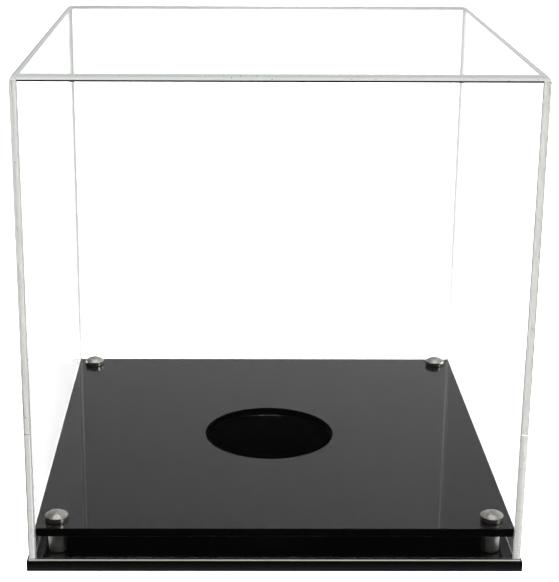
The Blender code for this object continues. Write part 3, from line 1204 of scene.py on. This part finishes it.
barrelLow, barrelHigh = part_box("standoff_barrel_front_right")
barrel = {"radius": (barrelHigh.x - barrelLow.x) / 2, "edgeBreak": 0.3 * mm}
barrelProfile = rodPoints(barrel["radius"], barrelLow.z, barrelHigh.z, barrel["edgeBreak"])
barrelProfile += [(boreRadius, barrelLow.z), (boreRadius, barrelHigh.z)]

studLow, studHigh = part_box("standoff_stud_front_right")
stud = {"endBreak": 0.4 * mm, "plainEnd": 0.5 * mm}
studSide = rodPoints(thread["core"], studLow.z, studHigh.z, stud["endBreak"])
studProfile = [(0, studHigh.z), *studSide, (0, studLow.z)]
studSpan = (studLow.z + stud["plainEnd"], studHigh.z - stud["plainEnd"])

screwLow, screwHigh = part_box("base_screw_front_right")
screw = {
    "headEdge": 0.3 * mm,
    "endBreak": 0.4 * mm,
    "socketWidth": 3.0 * mm,
    "socketDepth": 1.4 * mm,
    "neckHeight": 0.3 * mm,
    "neckTaper": 0.6 * mm,
    "threadFrom": 0.7 * mm,
    "plainEnd": 0.5 * mm,
}
screwHead = (screwHigh.x - screwLow.x) / 2
coneTop = screwLow.z + screw["headEdge"] + screwHead - thread["outside"]
neckTop = coneTop + screw["neckHeight"]
screwProfile = [
    (0, screwHigh.z),
    *rodPoints(thread["core"], neckTop, screwHigh.z, screw["endBreak"])[:2],
    (thread["core"], neckTop + screw["neckTaper"]),
    (thread["outside"], neckTop),
    (thread["outside"], coneTop),
    (screwHead, screwLow.z + screw["headEdge"]),
    (screwHead, screwLow.z),
    (0, screwLow.z),
]
screwSpan = (coneTop + screw["threadFrom"], screwHigh.z - screw["plainEnd"])
hexSocket = (screwLow.z, screw["socketWidth"], screw["socketDepth"])

footLow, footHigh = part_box("foot_front_right")
pad = {
    "radius": (footHigh.x - footLow.x) / 2,
    "taper": 0.8 * mm,
    "topBreak": 0.1 * mm,
    "edgeBreak": 0.3 * mm,
    "edgeSteps": 5,
}
padFoot = pad["radius"] - pad["taper"] - pad["edgeBreak"]
padProfile = [
    (0, footHigh.z),
    (pad["radius"] - pad["topBreak"], footHigh.z),
    (pad["radius"], footHigh.z - pad["topBreak"]),
    *arcPoints(padFoot, footLow.z + pad["edgeBreak"], pad["edgeBreak"], 0, -90, pad["edgeSteps"]),
    (0, footLow.z),
]

turnedTrees = {
    "cap": turnedPiece("turnedCap", capProfile()),
    "barrel": turnedPiece("turnedBarrel", barrelProfile, True),
    "stud": turnedPiece("turnedStud", studProfile, False, studSpan),
    "screw": turnedPiece("turnedScrew", screwProfile, False, screwSpan, hexSocket),
    "foot": turnedPiece("mouldedFoot", padProfile),
}
# (nodes, pieces, tree, finish on top and on the side, slot, sharp angle, steps round)
for nodeStem, pieceStem, tree, top, side, slot, sharpAngle, steps in (
    ("standoff_cap", "standoffCap", "cap", "capTop", "capSide", "satin_nickel", 35, 120),
    ("standoff_barrel", "standoffBarrel", "barrel", "barrel", "barrel", "satin_nickel", 30, 120),
    ("standoff_stud", "standoffStud", "stud", "zinc", "zinc", "plated_steel", 30, 48),
    ("base_screw", "baseScrew", "screw", "zinc", "zinc", "plated_steel", 30, 48),
    ("foot", "foot", "foot", "rubber", "rubber", "soft_rubber", 40, 72),
):
    fourOf(nodeStem, pieceStem, turnedTrees[tree], top, side, slot, sharpAngle, steps)
print("standoffs ready")


table = {
    "front": 0.008,  # how far the lit sweep reaches in front of the base
    "back": 2.7,
    "widening": 0.955,  # for each metre away from the camera
    "margin": 0.128,
    "reach": {-1: 0.156, 1: 0.225},  # to the left and to the right
    "cutTo": -0.083,  # how far back the cut-outs beside the base go
    "underBase": 0.9,  # of the base's half width
    "footGap": 0.05 * mm,
    "roughness": 0.9,
    "specular": 0.1,
    # (darker patches, lighter patches, patches per metre, glow)
    "litSweep": ((0.8471, 0.8471, 0.8471), (0.86, 0.86, 0.86), 1.5, 2.8),
    "paintedShadowSweep": ((0.20, 0.20, 0.20), (0.24, 0.24, 0.24), 40.0, 0.0),
# the grey cut-outs beside the base are a painted shadow
}

photoCamera = {
    "place": (-0.02418, -0.83295, 0.38731),
    "turn": (72.741, -0.219, -0.3257),  # degrees
    "lens": 95.317,
    "sensorWidth": 36.0,
    "shift": (0.0718, -0.03786),
    "clipEnd": 100.0,
}


def sweepFinish(name):
    dark, light, scale, glow = table[name]
    constants = {
        "Roughness": table["roughness"],
        "Specular IOR Level": table["specular"],
        "Emission Color": (1, 1, 1),
        "Emission Strength": glow,
    }
    material, tree, shader, place = newFinish(name, constants)
    feed(tree, mixColour(tree, noise(tree, place, scale), dark, light), shader.inputs["Base Color"])
    return material


def sweepEdge(side):
    # the sweep is as wide as the picture and no wider, so that clear edges show against the room beside it
    edge = []
    for y in (nearY, farY):
        reach = (table["widening"] * (y - cameraY) + table["margin"]) * table["reach"][side]
        edge.append((cameraX + side * reach, y))
    return edge


def sweepSide(side):
    # cut away close to the base, in the strip of table that is seen through the cover's foot alone, where the
    # grey finish lies as a painted shadow
    coverHalf = cover["width"] / 2
    baseHalf = basePlate.dimensions.x / 2
    slant = (side * coverHalf - cameraX) / (-coverHalf - cameraY)
    cutTo = table["cutTo"]
    cutFrom = -coverHalf + side * (baseHalf - coverHalf) / slant
    cutX = side * coverHalf + slant * (cutTo + coverHalf)
    under = side * baseHalf * table["underBase"]
    near, far = sweepEdge(side)
    cut = [(under, cutFrom), (side * baseHalf, cutFrom), (cutX, cutTo), (under, cutTo)]
    return [(x, y, -table["footGap"]) for x, y in (near, (under, nearY), *cut, (under, farY), far)]


cameraX, cameraY = photoCamera["place"][:2]
nearY = -(basePlate.dimensions.y / 2 + table["front"])
farY = table["back"]
left, right = sweepSide(-1), sweepSide(1)
middle = [left[1], right[1], right[-2], left[-2]]
# three lit faces, then the two cut-outs, which are kept grey as a painted shadow beside the base
floorFaces = (left, right[::-1], middle, left[2:6], right[2:6][::-1])
litFaces = 3
floorPoints, floorCorners = [], []
for face in floorFaces:
    floorCorners.append(range(len(floorPoints), len(floorPoints) + len(face)))
    floorPoints += face
floorMesh = bpy.data.meshes.new("floor")
floorMesh.from_pydata(floorPoints, [], floorCorners)
floorMesh.materials.append(sweepFinish("litSweep"))
floorMesh.materials.append(sweepFinish("paintedShadowSweep"))
for face in floorMesh.polygons:
    face.material_index = 0 if face.index < litFaces else 1
floor = linkObject("floor", floorMesh)

studio = {
    # (height, level), the walls first and then the soft box straight above
    "wallStops": ((0.0, 0.35), (0.2, 0.42), (0.32, 0.7), (0.46, 0.6), (0.58, 0.36), (0.9, 0.36)),
    "boxStops": ((0.96, 1.3), (1.0, 1.3)),
    "rightSideLift": 0.9,
    "spotPlace": (0.02, 0.12),
    "spotSize": (0.16, 0.14),
    "spotLevel": 0.3,
    "roomFront": 0.02,
    "roomSides": 0.45,
    "roomTurn": (-0.25, 0.15),
    "horizon": (-0.12, -0.05),
    "frontDimming": 0.25,
    "dimmedBetween": (-0.6, 0.3),
    "boxBottom": (0.45, 0.6),
    "boxTop": (0.95, 0.85),
    "boxFront": (-0.2, -0.4),
    "boxLevel": 1.6,
    "windowFacing": (0.77, -0.445, 0.454),
    "windowWidth": 0.16,
    "windowLevel": 5.0,
}


def studioDome():
    # dim below and in front, a wall lit from low down at the back, a soft box straight above
    world = bpy.data.worlds.new("studioDome")
    world.use_nodes = True
    tree = world.node_tree
    direction = addNode(tree, "ShaderNodeTexCoord").outputs["Generated"]
    x, y, z = split(tree, direction)
    dome = addNode(tree, "ShaderNodeValToRGB", {"Fac": z})
    elements = dome.color_ramp.elements
    while len(elements) > 1:
        elements.remove(elements[-1])
    for number, (stop, level) in enumerate(studio["wallStops"] + studio["boxStops"]):
        element = elements.new(stop) if number else elements[0]
        element.position = stop
        element.color = (level, level, level, 1)
    # a background lamp's spot, low behind the case
    spread = []
    for axis, centre, size in zip((x, z), studio["spotPlace"], studio["spotSize"]):
        away = over(tree, minus(tree, axis, centre), size)
        spread.append(times(tree, away, away))
    spot = maths(tree, "EXPONENT", times(tree, plus(tree, *spread), -1.0))
    spot = times(tree, times(tree, spot, studio["spotLevel"]), maths(tree, "GREATER_THAN", y, 0.0))
    lift = plus(tree, 1.0, times(tree, x, studio["rightSideLift"]))
    wall = plus(tree, times(tree, dome.outputs["Color"], lift), spot)
    behind = ramp(tree, plus(tree, y, z), *studio["dimmedBetween"])
    dimmed = mixValue(tree, behind, studio["frontDimming"], 1.0)
    # a soft box high in front
    lower, upper = [ramp(tree, z, *studio[edge]) for edge in ("boxBottom", "boxTop")]
    ahead = times(tree, ramp(tree, y, *studio["boxFront"]), studio["boxLevel"])
    lamps = times(tree, times(tree, lower, upper), ahead)
    # a small bright window to the right of the camera
    values = {0: direction, 1: studio["windowFacing"]}
    toWindow = addNode(tree, "ShaderNodeVectorMath", values, operation="DISTANCE").outputs["Value"]
    window = maths(tree, "LESS_THAN", toWindow, studio["windowWidth"])
    lamps = plus(tree, lamps, times(tree, window, studio["windowLevel"]))
    below = mixValue(tree, ramp(tree, y, *studio["roomTurn"]), studio["roomFront"], studio["roomSides"])
    above = plus(tree, times(tree, wall, dimmed), lamps)
    strength = mixValue(tree, ramp(tree, z, *studio["horizon"]), below, above)
    setInputs(tree, tree.nodes["Background"], {"Strength": strength, "Color": (1, 1, 1)})
    return world


scene.world = studioDome()

cameraData = bpy.data.cameras.new("photoCamera")
cameraData.sensor_fit = "HORIZONTAL"
cameraData.sensor_width = photoCamera["sensorWidth"]
cameraData.lens = photoCamera["lens"]
cameraData.shift_x, cameraData.shift_y = photoCamera["shift"]
cameraData.clip_end = photoCamera["clipEnd"]
camera = linkObject("photoCamera", cameraData)
camera.location = photoCamera["place"]
camera.rotation_euler = [math.radians(angle) for angle in photoCamera["turn"]]
scene.camera = camera

scene.view_settings.view_transform = "Standard"
lightBounces = 40
scene.cycles.max_bounces = lightBounces
scene.cycles.transmission_bounces = lightBounces
scene.cycles.transparent_max_bounces = lightBounces
scene.cycles.glossy_bounces = 16
print("studio ready")
